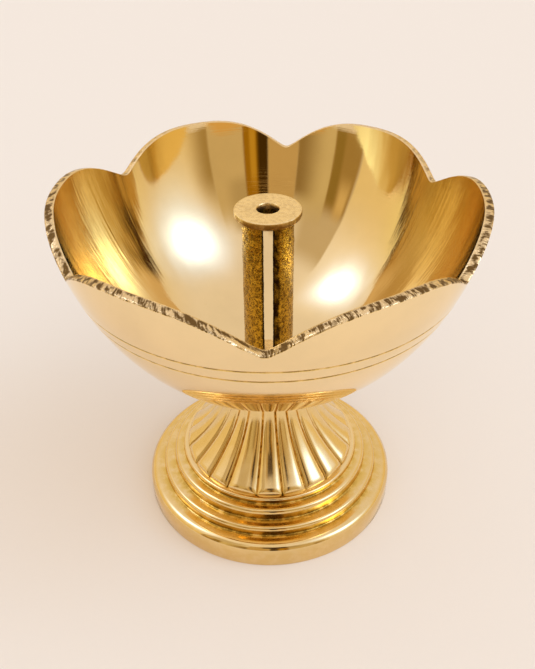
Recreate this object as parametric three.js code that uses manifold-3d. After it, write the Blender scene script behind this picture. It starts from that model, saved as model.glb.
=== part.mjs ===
// Pedestal diya: a six-petalled brass lamp bowl on a gadrooned foot, with a wick holder standing in it.
// Millimetres, +Z up. The origin is the middle of the foot's underside.
// One M6 stud, cast with the wick holder, passes down through the bowl and the foot, and a nut
// inside the hollow foot draws the three castings together.

import * as THREE from 'three';
import { mergeVertices } from 'three/addons/utils/BufferGeometryUtils.js';
import Module from 'manifold-3d';

const wasm = await Module();
wasm.setup();

// Driving sizes of the foot.
const foot = {
  radius: 33.6,
  height: 38.2,
  bandHeight: 6.8,
  shoulder: 2.4,
  neckRadius: 9.3,
  crown: 4.6,
  wall: 2.4,
};

// Turned steps above the band: how far each stands in, how high it rises, how round its edges are.
const steps = [
  { inset: 4.1, rise: 2.5, edge: 1.0 },
  { inset: 3.1, rise: 3.0, edge: 1.1 },
  { inset: 2.6, rise: 1.6, edge: 0.5 },
];

// Convex reeds on the flared dome, tapering up to the neck.
const gadroons = { count: 20, ledge: 1.3, fullness: 0.27, flare: 2 };

// The bowl's wall is an ellipse whose widest point would lie above the rim.
const bowl = { halfWidth: 51, halfDepth: 63.5, wall: 2.1, floor: 2.2, seatLip: 0.15 };

// Hand-cut petals, counterclockwise from the front notch: each one's share of the turn in degrees,
// the height of its first notch above the bowl's seat, and how far its crown rises above its notches.
const petals = [
  { span: 59.6, notchHeight: 40.3, crownHeight: 8.7 },
  { span: 58.7, notchHeight: 42.1, crownHeight: 8.1 },
  { span: 56.2, notchHeight: 42.3, crownHeight: 7.5 },
  { span: 58.9, notchHeight: 41.4, crownHeight: 7.4 },
  { span: 63.9, notchHeight: 41.7, crownHeight: 8.3 },
  { span: 62.7, notchHeight: 41.2, crownHeight: 9.1 },
];
const petalCut = { frontNotch: -91, fullness: 2.7, spring: 1.25, softness: 0.05, rake: 0.2 };

// The wick holder: a turned disc on a slotted round stem, with a flange and a stud below.
// The slot runs from the flange up to a solid collar under the disc.
const holder = {
  height: 43.4,
  discRadius: 7.9,
  discThickness: 1.6,
  stemRadius: 6.25,
  flangeRadius: 7.5,
  flangeThickness: 0.8,
  slotWidth: 2.4,
  slotFloor: 0.8,
  collar: 1,
  slotFillet: 0.9,
  wickHole: 5.1,
};

// Fixing pieces, to common M6 sizes.
const stud = { diameter: 5.9, point: 2, chamfer: 0.7 };
const clearance = 0.35;
const seal = { radius: 7.4, thickness: 0.8 };
const washer = { radius: 6, thickness: 1.2 };
const nut = { acrossFlats: 10, height: 5, chamfer: 0.6 };

// Facets round the turned pieces, per gadroon and per petal.
const turnedFacets = 72;
const smallFacets = 40;
const facetsPerGadroon = 6;
const facetsPerPetal = 18;
const wallRows = 9;
const wallCrowding = 1.5;
const domeRows = 7;
const arcPoints = 3;

// How far a cutting shape runs past what it cuts, and how near two corners count as one.
const overrun = 2;
const sameCorner = 1e-4;

// Heights up the axis, from the floor that the foot stands on.
const stepTops = steps.map((step, i) => foot.bandHeight + sum(steps.slice(0, i + 1), 'rise'));
const stepRadii = steps.map((step, i) => foot.radius - sum(steps.slice(0, i + 1), 'inset'));
const plinthTop = stepTops.at(-1);
const domeFootRadius = stepRadii.at(-1) - gadroons.ledge;
const crownUnderside = foot.height - foot.crown;
const bowlFloorTop = foot.height + bowl.floor;
const holderBottom = bowlFloorTop + seal.thickness;
const holderTop = holderBottom + holder.height;
const nutTop = crownUnderside - washer.thickness;
const studEnd = nutTop - nut.height - stud.point;
const boreRadius = stud.diameter / 2 + clearance;

// The bowl's ellipse is cut flat where it sits on the neck.
const seatRadius = foot.neckRadius + bowl.seatLip;
const seatSink = bowl.halfDepth * (1 - Math.sqrt(1 - (seatRadius / bowl.halfWidth) ** 2));
const bowlCentre = foot.height - seatSink + bowl.halfDepth;

function sum(list, key) {
  return list.reduce((total, item) => total + item[key], 0);
}

function range(count) {
  return Array.from({ length: count }, (_, i) => i);
}

// A closed mesh with shared corners and no collapsed triangles, ready to cut or join.
function toSolid(geometry) {
  const bare = geometry.clone();
  bare.deleteAttribute('normal');
  bare.deleteAttribute('uv');
  const merged = mergeVertices(bare, sameCorner);
  const corners = merged.index.array;
  const kept = [];
  for (let i = 0; i < corners.length; i += 3) {
    const [a, b, c] = [corners[i], corners[i + 1], corners[i + 2]];
    if (a !== b && b !== c && c !== a) {
      kept.push(a, b, c);
    }
  }
  return new wasm.Manifold(new wasm.Mesh({
    numProp: 3,
    vertProperties: merged.attributes.position.array,
    triVerts: Uint32Array.from(kept),
  }));
}

function toGeometry(solid) {
  const mesh = solid.getMesh();
  const geometry = new THREE.BufferGeometry();
  geometry.setAttribute('position', new THREE.BufferAttribute(mesh.vertProperties, 3));
  geometry.setIndex(new THREE.BufferAttribute(mesh.triVerts, 1));
  geometry.computeVertexNormals();
  return geometry;
}

// Revolves a profile of [radius, height] points about the Z axis.
function turned(profile, facets) {
  const points = profile.map(([radius, height]) => new THREE.Vector2(radius, height));
  return toSolid(new THREE.LatheGeometry(points, facets).rotateX(Math.PI / 2));
}

// Joins the sections that sectionAt gives round the axis, each a closed loop of [radius, height].
function loftRound(angles, sectionAt) {
  const positions = [];
  angles.forEach((angle, i) => {
    for (const [radius, height] of sectionAt(angle, i)) {
      positions.push(radius * Math.cos(angle), radius * Math.sin(angle), height);
    }
  });
  const loop = positions.length / 3 / angles.length;
  const index = [];
  for (const i of range(angles.length)) {
    const here = i * loop;
    const next = ((i + 1) % angles.length) * loop;
    for (const k of range(loop)) {
      const up = (k + 1) % loop;
      index.push(here + k, next + k, next + up);
      index.push(here + k, next + up, here + up);
    }
  }
  const geometry = new THREE.BufferGeometry();
  geometry.setAttribute('position', new THREE.Float32BufferAttribute(positions, 3));
  geometry.setIndex(index);
  return toSolid(geometry);
}

// Points of a quarter round from the side of a step up to its top.
function roundedEdge(radius, top, edge) {
  return range(arcPoints + 1).map((i) => {
    const angle = (Math.PI / 2) * (i / arcPoints);
    return [radius - edge + edge * Math.cos(angle), top - edge + edge * Math.sin(angle)];
  });
}

// The solid turned part of the foot, from its underside to the plinth that carries the reeds.
function turnedBase() {
  const profile = [[boreRadius, 0], [foot.radius, 0]];
  profile.push(...roundedEdge(foot.radius, foot.bandHeight, foot.shoulder));
  steps.forEach((step, i) => {
    profile.push([stepRadii[i], stepTops[i] - step.rise]);
    profile.push(...roundedEdge(stepRadii[i], stepTops[i], step.edge));
  });
  profile.push([boreRadius, plinthTop], [boreRadius, 0]);
  return turned(profile, turnedFacets);
}

// Radius of the groove between two reeds at a share of the way up the dome.
function grooveRadius(share) {
  return foot.neckRadius + (domeFootRadius - foot.neckRadius) * (1 - share) ** gadroons.flare;
}

function domeShare(height) {
  return (height - plinthTop) / (foot.height - plinthTop);
}

// How much a reed swells beyond its grooves, as a share of the radius there. One reed faces the front.
function reedSwell(angle) {
  const fromFront = angle + Math.PI / 2;
  const bulge = Math.abs(Math.cos((fromFront * gadroons.count) / 2));
  return ((2 * Math.PI) / gadroons.count) * gadroons.fullness * bulge;
}

// Each reed ends in an arched face, where it meets an upright cylinder at the dome's foot.
function reedEndShare(swell) {
  const reach = domeFootRadius / (1 + swell) - foot.neckRadius;
  return 1 - (reach / (domeFootRadius - foot.neckRadius)) ** (1 / gadroons.flare);
}

// The flared dome with its reeds, from inside the plinth up to the bowl's seat.
function gadroonedDome() {
  const facets = gadroons.count * facetsPerGadroon;
  const angles = range(facets).map((i) => (2 * Math.PI * i) / facets - Math.PI / 2);
  const rise = foot.height - plinthTop;
  return loftRound(angles, (angle) => {
    const swell = reedSwell(angle);
    const start = reedEndShare(swell);
    const section = [
      [boreRadius, plinthTop - overrun],
      [domeFootRadius, plinthTop - overrun],
      [domeFootRadius, plinthTop],
    ];
    for (const i of range(domeRows + 1)) {
      const share = start + (1 - start) * (i / domeRows);
      section.push([grooveRadius(share) * (1 + swell), plinthTop + rise * share]);
    }
    section.push([boreRadius, foot.height]);
    return section;
  });
}

// The open hollow under the foot, which keeps one wall thickness under every step and the dome.
function footHollow() {
  const profile = [[0, -overrun], [foot.radius - foot.wall, -overrun]];
  profile.push([foot.radius - foot.wall, foot.bandHeight - foot.wall]);
  steps.forEach((step, i) => {
    profile.push([stepRadii[i] - foot.wall, stepTops[i] - step.rise - foot.wall]);
    profile.push([stepRadii[i] - foot.wall, stepTops[i] - foot.wall]);
  });
  for (const i of range(domeRows + 1)) {
    const height = plinthTop + (crownUnderside - plinthTop) * (i / domeRows);
    profile.push([grooveRadius(domeShare(height)) - foot.wall, height]);
  }
  profile.push([0, crownUnderside]);
  return turned(profile, turnedFacets);
}

function footGeometry() {
  return toGeometry(turnedBase().add(gadroonedDome()).subtract(footHollow()));
}

// Radius of the bowl's ellipse at a height, on the outside or one wall thickness in.
function bowlRadius(height, inset) {
  const share = (height - bowlCentre) / (bowl.halfDepth - inset);
  return (bowl.halfWidth - inset) * Math.sqrt(Math.max(0, 1 - share ** 2));
}

// How far the rim has risen at a share of the way across a petal, from 0 at its softly rounded notches.
function petalRise(across) {
  const crown = (1 - Math.abs(2 * across - 1) ** petalCut.fullness) ** petalCut.spring;
  const soft = petalCut.softness;
  return (Math.hypot(crown, soft) - soft) / (Math.hypot(1, soft) - soft);
}

// Angles of the rim's cuts, closer together at the notches, with the rim's height at each.
function rimCuts() {
  const degree = (2 * Math.PI) / sum(petals, 'span');
  const cuts = [];
  let start = THREE.MathUtils.degToRad(petalCut.frontNotch);
  petals.forEach((petal, i) => {
    const nextNotch = petals[(i + 1) % petals.length].notchHeight;
    for (const j of range(facetsPerPetal)) {
      const across = (1 - Math.cos((Math.PI * j) / facetsPerPetal)) / 2;
      const notch = petal.notchHeight + (nextNotch - petal.notchHeight) * across;
      cuts.push({
        angle: start + petal.span * degree * across,
        height: foot.height + notch + petal.crownHeight * petalRise(across),
      });
    }
    start += petal.span * degree;
  });
  return cuts;
}

// Points up one side of the bowl's wall, closer together near the floor, where it curves most.
function wallProfile(bottom, rim, inset) {
  return range(wallRows + 1).map((i) => {
    const height = bottom + (rim - bottom) * (i / wallRows) ** wallCrowding;
    return [bowlRadius(height, inset), height];
  });
}

// The petalled shell, lofted so that every row of its wall follows the cut rim. The cut is square to the
// sloping wall, so the rim's inner edge stands a little above its outer one.
function bowlGeometry() {
  const innerEdge = bowl.wall * petalCut.rake;
  const cuts = rimCuts();
  const shell = loftRound(cuts.map((cut) => cut.angle), (angle, i) => [
    [boreRadius, foot.height],
    ...wallProfile(foot.height, cuts[i].height, 0),
    ...wallProfile(bowlFloorTop, cuts[i].height + innerEdge, bowl.wall).reverse(),
    [boreRadius, bowlFloorTop],
  ]);
  return toGeometry(shell);
}

// The slot between the two legs, with round corners, cut from front to back.
function wickSlot(bottom, top) {
  const half = holder.slotWidth / 2;
  const fillet = Math.min(holder.slotFillet, half);
  const outline = new THREE.Shape();
  outline.moveTo(-half + fillet, bottom);
  outline.lineTo(half - fillet, bottom);
  outline.absarc(half - fillet, bottom + fillet, fillet, -Math.PI / 2, 0, false);
  outline.lineTo(half, top - fillet);
  outline.absarc(half - fillet, top - fillet, fillet, 0, Math.PI / 2, false);
  outline.lineTo(-half + fillet, top);
  outline.absarc(-half + fillet, top - fillet, fillet, Math.PI / 2, Math.PI, false);
  outline.lineTo(-half, bottom + fillet);
  outline.absarc(-half + fillet, bottom + fillet, fillet, Math.PI, Math.PI * 1.5, false);
  const depth = 2 * (holder.flangeRadius + overrun);
  const slab = new THREE.ExtrudeGeometry(outline, {
    depth,
    bevelEnabled: false,
    curveSegments: arcPoints,
  });
  return toSolid(slab.rotateX(Math.PI / 2).translate(0, depth / 2, 0));
}

// Disc, two legs, flange and stud, turned as one blank, then slotted and drilled for the wick.
function wickHolderGeometry() {
  const studRadius = stud.diameter / 2;
  const flangeTop = holderBottom + holder.flangeThickness;
  const legFoot = flangeTop + (holder.flangeRadius - holder.stemRadius);
  const discUnderside = holderTop - holder.discThickness;
  const slotBottom = holderBottom + holder.slotFloor;
  const slotTop = discUnderside - holder.collar;
  const blank = turned([
    [0, studEnd],
    [studRadius - stud.chamfer, studEnd],
    [studRadius, studEnd + stud.chamfer],
    [studRadius, holderBottom],
    [holder.flangeRadius, holderBottom],
    [holder.flangeRadius, flangeTop],
    [holder.stemRadius, legFoot],
    [holder.stemRadius, discUnderside],
    [holder.discRadius, discUnderside],
    [holder.discRadius, holderTop],
    [0, holderTop],
  ], smallFacets);
  const wickHole = turned([
    [0, slotBottom],
    [holder.wickHole / 2, slotBottom],
    [holder.wickHole / 2, holderTop + overrun],
    [0, holderTop + overrun],
  ], smallFacets);
  return toGeometry(blank.subtract(wickSlot(slotBottom, slotTop)).subtract(wickHole));
}

// A flat ring that the stud passes through.
function ringGeometry(outer, bottom, thickness) {
  return toGeometry(turned([
    [boreRadius, bottom],
    [outer, bottom],
    [outer, bottom + thickness],
    [boreRadius, bottom + thickness],
    [boreRadius, bottom],
  ], smallFacets));
}

// A hexagon nut, its corners turned off at both ends.
function nutGeometry() {
  const bottom = nutTop - nut.height;
  const cornerRadius = nut.acrossFlats / Math.sqrt(3);
  const hexagon = new THREE.Shape(range(6).map((i) => {
    const angle = (Math.PI / 3) * i;
    return new THREE.Vector2(cornerRadius * Math.cos(angle), cornerRadius * Math.sin(angle));
  }));
  const prism = new THREE.ExtrudeGeometry(hexagon, { depth: nut.height, bevelEnabled: false });
  const blank = toSolid(prism.translate(0, 0, bottom));
  const flat = nut.acrossFlats / 2;
  const barrel = turned([
    [0, bottom],
    [flat, bottom],
    [cornerRadius, bottom + nut.chamfer],
    [cornerRadius, nutTop - nut.chamfer],
    [flat, nutTop],
    [0, nutTop],
  ], smallFacets);
  const bore = turned([
    [0, bottom - overrun],
    [boreRadius, bottom - overrun],
    [boreRadius, nutTop + overrun],
    [0, nutTop + overrun],
  ], smallFacets);
  return toGeometry(blank.intersect(barrel).subtract(bore));
}

const polishedBrass = new THREE.MeshStandardMaterial({ color: 0xe2b961, metalness: 1, roughness: 0.14 });
const castBrass = new THREE.MeshStandardMaterial({ color: 0xb98d3d, metalness: 1, roughness: 0.5 });
const fixingBrass = new THREE.MeshStandardMaterial({ color: 0xd0aa58, metalness: 1, roughness: 0.32 });
const blackRubber = new THREE.MeshStandardMaterial({ color: 0x1d1c1b, metalness: 0, roughness: 0.8 });

const lamp = new THREE.Group();

function addPiece(name, geometry, material) {
  const mesh = new THREE.Mesh(geometry, material);
  mesh.name = name;
  lamp.add(mesh);
}

addPiece('foot', footGeometry(), polishedBrass);
addPiece('bowl', bowlGeometry(), polishedBrass);
addPiece('wick_holder', wickHolderGeometry(), castBrass);
addPiece('oil_seal', ringGeometry(seal.radius, bowlFloorTop, seal.thickness), blackRubber);
addPiece('foot_washer', ringGeometry(washer.radius, nutTop, washer.thickness), fixingBrass);
addPiece('clamp_nut', nutGeometry(), fixingBrass);

export default lamp;
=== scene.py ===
# Pedestal diya: a petalled brass lamp bowl on a gadrooned foot, with a cast wick holder standing in it.
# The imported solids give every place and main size; this script makes the castings' fine surface.

from bisect import bisect_right
import math

import bpy
from bpy.props import FloatProperty, FloatVectorProperty, IntProperty, PointerProperty
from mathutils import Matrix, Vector, noise


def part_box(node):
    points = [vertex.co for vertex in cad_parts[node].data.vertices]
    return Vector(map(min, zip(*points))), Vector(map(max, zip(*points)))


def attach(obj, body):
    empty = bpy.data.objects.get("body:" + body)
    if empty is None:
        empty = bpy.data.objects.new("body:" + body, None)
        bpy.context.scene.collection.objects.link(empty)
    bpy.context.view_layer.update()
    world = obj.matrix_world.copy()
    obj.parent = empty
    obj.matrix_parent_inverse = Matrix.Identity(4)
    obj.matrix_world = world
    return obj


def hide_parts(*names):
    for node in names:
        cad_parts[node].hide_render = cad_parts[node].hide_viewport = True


bl_info = {
    "name": "Pedestal Diya",
    "version": (1, 0, 0),
    "blender": (4, 5, 0),
    "location": "View3D > Sidebar > Diya",
    "description": "Dresses a petalled brass oil lamp",
    "category": "Object",
}

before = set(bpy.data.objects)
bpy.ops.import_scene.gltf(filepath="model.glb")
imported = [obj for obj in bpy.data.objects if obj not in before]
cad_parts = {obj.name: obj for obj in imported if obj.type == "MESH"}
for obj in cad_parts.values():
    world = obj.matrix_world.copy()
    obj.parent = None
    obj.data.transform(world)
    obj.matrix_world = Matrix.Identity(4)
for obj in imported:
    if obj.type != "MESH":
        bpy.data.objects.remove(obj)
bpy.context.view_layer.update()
MM = 0.001
FRONT = -math.pi / 2

foot_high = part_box("foot")[1]
bowl_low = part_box("bowl")[0]
holder_low, holder_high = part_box("wick_holder")
seal_low, seal_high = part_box("oil_seal")
washer_low, washer_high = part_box("foot_washer")
nut_low, nut_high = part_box("clamp_nut")


def length(name, description, default):
    return FloatProperty(name=name, description=description, default=default, unit="LENGTH", precision=5)


def lengths(name, description, default):
    return FloatVectorProperty(
        name=name, description=description, default=default, size=len(default), unit="LENGTH", precision=5)


def colour(name, description, default):
    return FloatVectorProperty(
        name=name, description=description, default=default, size=3, subtype="COLOR", min=0, max=1)


class FootSizes(bpy.types.PropertyGroup):
    """Sizes of the gadrooned foot casting."""

    radius: length("Radius", "Half the width of the foot", foot_high[0])
    height: length("Height", "From the table to the bowl's seat", foot_high[2])
    band: length("Band", "Height of the plain outer band", 6.8 * MM)
    shoulder: length("Shoulder", "Rounding of the band's top edge", 2.4 * MM)
    step_insets: lengths("Step insets", "How far each step stands in", (4.1 * MM, 3.1 * MM, 2.6 * MM))
    step_rises: lengths("Step rises", "How high each step rises", (2.5 * MM, 3.0 * MM, 1.6 * MM))
    step_edges: lengths("Step edges", "Rounding of each step's top edge", (1.0 * MM, 1.1 * MM, 0.5 * MM))
    cove: length("Cove", "Rounding of the inner corners between steps", 0.3 * MM)
    ledge: length("Ledge", "Width of the flat ring round the reeds", 1.3 * MM)
    neck: length("Neck", "Radius of the grooves under the bowl", 9.3 * MM)
    crown: length("Crown", "Thickness of metal above the hollow", foot_high[2] - washer_high[2])
    wall: length("Wall", "Thickness of the casting's wall", 2.4 * MM)
    bore: length("Bore", "Radius of the hole for the stud", 3.3 * MM)
    reeds: IntProperty(name="Reeds", description="Number of convex reeds round the dome", default=20, min=3)
    fullness: FloatProperty(
        name="Fullness", description="How far a reed swells, as a share of its width", default=0.2)
    flare: FloatProperty(
        name="Flare", description="How strongly the dome flares out at its foot", default=2.0)
    flatness: FloatProperty(name="Flatness", description="How flat a reed is across its middle", default=3.4)
    cut: length("Cut", "Depth of the chased line in each groove", 0.16 * MM)
    drift: FloatVectorProperty(
        name="Drift", description="How far each hand-cut groove lies off its even place, in degrees",
        size=20, default=(0.1, -0.7, -2.4, -3.8, -3.7, -2.0, -1.2, 0.4, 1.1, -0.6,
                          0.5, -0.9, 0.6, 1.0, -0.5, 0.8, 1.2, 1.4, -0.2, -2.8))


class BowlSizes(bpy.types.PropertyGroup):
    """Sizes of the petalled bowl casting."""

    half_width: length("Half width", "Half the width of the wall's ellipse", 51 * MM)
    half_depth: length("Half depth", "Half the depth of the wall's ellipse", 63.5 * MM)
    wall: length("Wall", "Thickness of the wall", 2.1 * MM)
    floor: length("Floor", "Thickness of the floor", seal_low[2] - foot_high[2])
    seat: length("Seat", "Radius of the flat that sits on the foot", 9.45 * MM)
    bore: length("Bore", "Radius of the hole for the stud", 3.3 * MM)
    spans: FloatVectorProperty(
        name="Spans", description="Each petal's share of the turn, from the front notch",
        size=6, default=(59.6, 58.7, 56.2, 58.9, 63.9, 62.7))
    notches: lengths("Notches", "Height of each petal's first notch above the seat",
                     (40.3 * MM, 42.1 * MM, 42.3 * MM, 41.4 * MM, 41.7 * MM, 41.2 * MM))
    crowns: lengths("Crowns", "How far each petal rises above its notches",
                    (8.7 * MM, 8.1 * MM, 7.5 * MM, 7.4 * MM, 8.3 * MM, 9.1 * MM))
    front_notch: FloatProperty(name="Front notch", description="Turn of the front notch", default=-91.0)
    line_heights: lengths("Line heights", "Heights of the incised lines", (69.85 * MM, 73.4 * MM))
    line_width: length("Line width", "Width of an incised line", 0.7 * MM)
    line_depth: length("Line depth", "Depth of an incised line", 0.12 * MM)
    rim_edge: length("Rim edge", "How far the rim's two edges are softened", 0.22 * MM)
    rim_tooling: length("Rim tooling", "Depth of the file and hammer marks on the rim", 0.08 * MM)
    rim_rake: FloatProperty(
        name="Rim rake", description="Rise of the cut rim from its outer to its inner edge", default=0.2)
    notch_softness: FloatProperty(name="Notch softness", description="Rounding of the notches", default=0.05)
    ripple: length("Ripple", "Depth of the hand-polished ripples inside the side petals", 0.035 * MM)


class HolderSizes(bpy.types.PropertyGroup):
    """Sizes of the wick holder casting."""

    disc: length("Disc", "Radius of the disc", holder_high[0])
    disc_thickness: length("Disc thickness", "Thickness of the disc", 1.6 * MM)
    wick_hole: length("Wick hole", "Radius of the hole for the wick", 2.55 * MM)
    collar: length("Collar", "Height of the solid ring that joins the legs under the disc", 1.0 * MM)
    stem: length("Stem", "Radius of the round stem", 6.1 * MM)
    slot: length("Slot", "Width of the slot between the legs", 2.35 * MM)
    leg_corner: length("Leg corner", "Rounding of the legs' upright corners", 1.2 * MM)
    leg_flare: length("Leg flare", "How far the legs spread into the disc and flange", 0.5 * MM)
    flange: length("Flange", "Radius of the flange on the bowl's floor", 7.5 * MM)
    flange_thickness: length("Flange thickness", "Thickness of the flange", 0.8 * MM)
    stud: length("Stud", "Radius of the threaded stud", 2.95 * MM)
    pitch: length("Pitch", "Rise of the stud's thread in one turn", 1.0 * MM)
    roughness: length("Casting roughness", "Height of the lumps on the cast legs", 0.09 * MM)


class FixingSizes(bpy.types.PropertyGroup):
    """Sizes of the seal, washer and nut."""

    bore: length("Bore", "Radius of the clearance hole", 3.3 * MM)
    across_flats: length("Across flats", "Width of the nut across its flats", nut_high[1] - nut_low[1])
    chamfer: length("Chamfer", "Chamfer of the nut's corners", 0.6 * MM)
    edge: length("Edge", "Rounding of the washer and seal", 0.15 * MM)


class Finishes(bpy.types.PropertyGroup):
    """Colours of the metals and the rubber."""

    bowl_brass: colour("Bowl brass", "Buffed brass outside the bowl", (0.97, 0.76, 0.43))
    lining: colour(
        "Lining", "Mirror-polished brass inside the bowl, deeper from oil and heat", (0.84, 0.63, 0.32))
    foot_brass: colour("Foot brass", "Polished brass of the foot", (0.87, 0.645, 0.31))
    # A painted highlight: a brighter copy of the lining for the side petals, standing in for the bright
    # reflection of the side lights.
    petal_painted_sheen: colour("Petal brass", "The side petals' inner faces, polished brightest", (0.96, 0.79, 0.36))
    # Also the colour of the painted shade gathered at the front of the foot's coves and low on the bowl's
    # outside.
    tarnish: colour("Tarnish", "Brown tarnish left in grooves and lines", (0.085, 0.04, 0.004))
    rim_brass: colour("Rim brass", "Filed metal of the rim", (0.82, 0.6, 0.31))
    rim_dirt: colour("Rim dirt", "Brown dirt in the rim's marks", (0.16, 0.088, 0.026))
    cast_brass: colour("Cast brass", "Rough metal of the wick holder", (0.7, 0.43, 0.045))
    cast_brown: colour("Cast brown", "Brown mottling of the rough metal", (0.24, 0.115, 0.008))
    # Also the colour of the painted shade on the wick holder's slot sides and on the collar under its disc.
    cast_skin_and_shade: colour("Cast skin", "Dark skin in the casting's hollows", (0.03, 0.012, 0.001))
    disc_brass: colour("Disc brass", "Turned top of the wick holder", (0.98, 0.74, 0.37))
    fixing_brass: colour("Fixing brass", "Turned brass of the washer and nut", (0.78, 0.58, 0.28))
    rubber: colour("Rubber", "Black rubber of the seal", (0.02, 0.02, 0.019))
    paper: colour("Paper", "Pale floor", (0.92, 0.835, 0.77))
    room: colour("Room", "Pale ceiling and upper walls that the metal reflects", (0.94, 0.87, 0.86))
    wall: colour("Wall", "Warmer lower walls round the table", (0.92, 0.74, 0.42))
    backdrop: colour("Backdrop", "Pale paper behind the lamp", (0.88, 0.78, 0.69))
    daylight: colour("Daylight", "Even light on the floor from all round", (0.76, 0.7, 0.63))


# Geometry: rings of points about the lamp's axis, joined into a skin.

def ellipse_radius(height, half_width, half_depth, centre):
    share = (height - centre) / half_depth
    return half_width * math.sqrt(max(0.0, 1 - share * share))


def even_turns(count):
    return [FRONT + math.tau * i / count for i in range(count)]


def ring(turns, point_at):
    """Points at the given turns; point_at gives each one's radius, height and stain."""
    points = []
    for i, turn in enumerate(turns):
        radius, height, stain = point_at(turn, i)
        points.append((radius * math.cos(turn), radius * math.sin(turn), height, stain))
    return points


def plain_ring(turns, radius, height, stain=0.0):
    return ring(turns, lambda turn, i: (radius, height, stain))


def bridge(faces, low_start, low_count, high_start, high_count):
    """Faces between two rings, of which one may have a whole number of times the other's points."""
    steps = max(low_count, high_count)
    low_step = steps // low_count
    high_step = steps // high_count
    for i in range(steps):
        a = low_start + (i // low_step) % low_count
        b = low_start + ((i + 1) // low_step) % low_count
        c = high_start + ((i + 1) // high_step) % high_count
        d = high_start + (i // high_step) % high_count
        corners = [a]
        for corner in (b, c, d):
            if corner != corners[-1] and corner != corners[0]:
                corners.append(corner)
        faces.append(corners)


def skin(name, rings, finishes, closed=True, sharp=32.0):
    """An object made of successive rings; finishes gives the material slot of each band between two."""
    verts = []
    stains = []
    starts = []
    for points in rings:
        starts.append(len(verts))
        verts.extend(point[:3] for point in points)
        stains.extend(point[3] for point in points)
    faces = []
    slots = []
    last = len(rings) if closed else len(rings) - 1
    for k in range(last):
        after = (k + 1) % len(rings)
        before = len(faces)
        bridge(faces, starts[k], len(rings[k]), starts[after], len(rings[after]))
        slots.extend([finishes[k % len(finishes)]] * (len(faces) - before))
    return mesh_object(name, verts, faces, slots, stains, sharp)


def mesh_object(name, verts, faces, slots, stains, sharp=32.0):
    mesh = bpy.data.meshes.new(name)
    mesh.from_pydata(verts, [], faces)
    mesh.polygons.foreach_set("material_index", slots)
    stain = mesh.attributes.new("stain", "FLOAT", "POINT")
    stain.data.foreach_set("value", stains)
    mesh.shade_smooth()
    mesh.set_sharp_from_angle(angle=math.radians(sharp))
    mesh.update()
    piece = bpy.data.objects.new(name, mesh)
    bpy.context.scene.collection.objects.link(piece)
    return piece


def dress(piece, body, node, materials):
    """Hangs a finished piece on the frame in place of its solid."""
    for material in materials:
        piece.data.materials.append(material)
    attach(piece, body)
    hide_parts(node)


def quarter(radius, height, edge, steps=5):
    """Points over a rounded outer edge, from its side up to its top."""
    return [(radius - edge + edge * math.cos(math.pi / 2 * i / steps),
             height - edge + edge * math.sin(math.pi / 2 * i / steps)) for i in range(steps + 1)]


def hollow_quarter(radius, height, edge, steps=4):
    """Points round an inner corner, from the flat in front of it up its side."""
    return [(radius + edge - edge * math.sin(math.pi / 2 * i / steps),
             height + edge - edge * math.cos(math.pi / 2 * i / steps)) for i in range(steps + 1)]


# Node helpers.

def new_node(tree, kind, inputs=None, **settings):
    node = tree.nodes.new(kind)
    for key, value in settings.items():
        setattr(node, key, value)
    for key, value in (inputs or {}).items():
        if isinstance(value, bpy.types.NodeSocket):
            tree.links.new(value, node.inputs[key])
        else:
            node.inputs[key].default_value = value
    return node


def math_node(tree, operation, *values, clamp=False):
    node = new_node(
        tree, "ShaderNodeMath", dict(enumerate(values)), operation=operation, use_clamp=clamp)
    return node.outputs[0]


def blend_colour(tree, share, first, second):
    node = new_node(tree, "ShaderNodeMix", data_type="RGBA")
    for socket, value in ((0, share), (6, first), (7, second)):
        if isinstance(value, bpy.types.NodeSocket):
            tree.links.new(value, node.inputs[socket])
        else:
            node.inputs[socket].default_value = value
    return node.outputs[2]


def rgba(value):
    return (*value, 1.0)


def ramp(tree, value, low, high, to_low=0.0, to_high=1.0):
    return new_node(tree, "ShaderNodeMapRange", {0: value, 1: low, 2: high, 3: to_low, 4: to_high},
                    interpolation_type="SMOOTHSTEP").outputs[0]


def group_tree(name, inputs, outputs):
    """An empty node group with named float inputs and outputs, and its two ends."""
    tree = bpy.data.node_groups.new(name, "ShaderNodeTree")
    for label, default in inputs:
        socket = tree.interface.new_socket(label, in_out="INPUT", socket_type="NodeSocketFloat")
        socket.default_value = default
    for label in outputs:
        tree.interface.new_socket(label, in_out="OUTPUT", socket_type="NodeSocketFloat")
    return tree, tree.nodes.new("NodeGroupInput").outputs, tree.nodes.new("NodeGroupOutput").inputs


def noise_node(tree, vector, scale, detail=2.0, roughness=0.5, **inputs):
    values = {"Vector": vector, "Scale": scale, "Detail": detail, "Roughness": roughness}
    values.update(inputs)
    return new_node(tree, "ShaderNodeTexNoise", values).outputs[0]


def turning_lines_group():
    """Fine rings that a lathe and a polishing wheel leave round the axis."""
    tree, given, out = group_tree(
        "Turning Lines", [("Lines per Metre", 4000), ("Patchiness", 0.5)], ["Height"])
    place = tree.nodes.new("ShaderNodeTexCoord").outputs["Object"]
    x, y, z = new_node(tree, "ShaderNodeSeparateXYZ", {0: place}).outputs
    squares = math_node(tree, "ADD", math_node(tree, "MULTIPLY", x, x), math_node(tree, "MULTIPLY", y, y))
    along = math_node(tree, "ADD", math_node(tree, "SQRT", squares), z)
    wander = math_node(tree, "MULTIPLY", noise_node(tree, place, 30.0), 0.6 * MM)
    along = math_node(tree, "ADD", along, wander)
    lines = new_node(
        tree, "ShaderNodeTexNoise", {"W": along, "Scale": given[0], "Detail": 3.0, "Roughness": 0.7},
        noise_dimensions="1D").outputs[0]
    patches = ramp(tree, noise_node(tree, place, 60.0), 0.35, 0.65)
    keep = math_node(tree, "SUBTRACT", 1.0, math_node(tree, "MULTIPLY", patches, given[1]))
    tree.links.new(math_node(tree, "MULTIPLY", lines, keep), out["Height"])
    return tree


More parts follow.
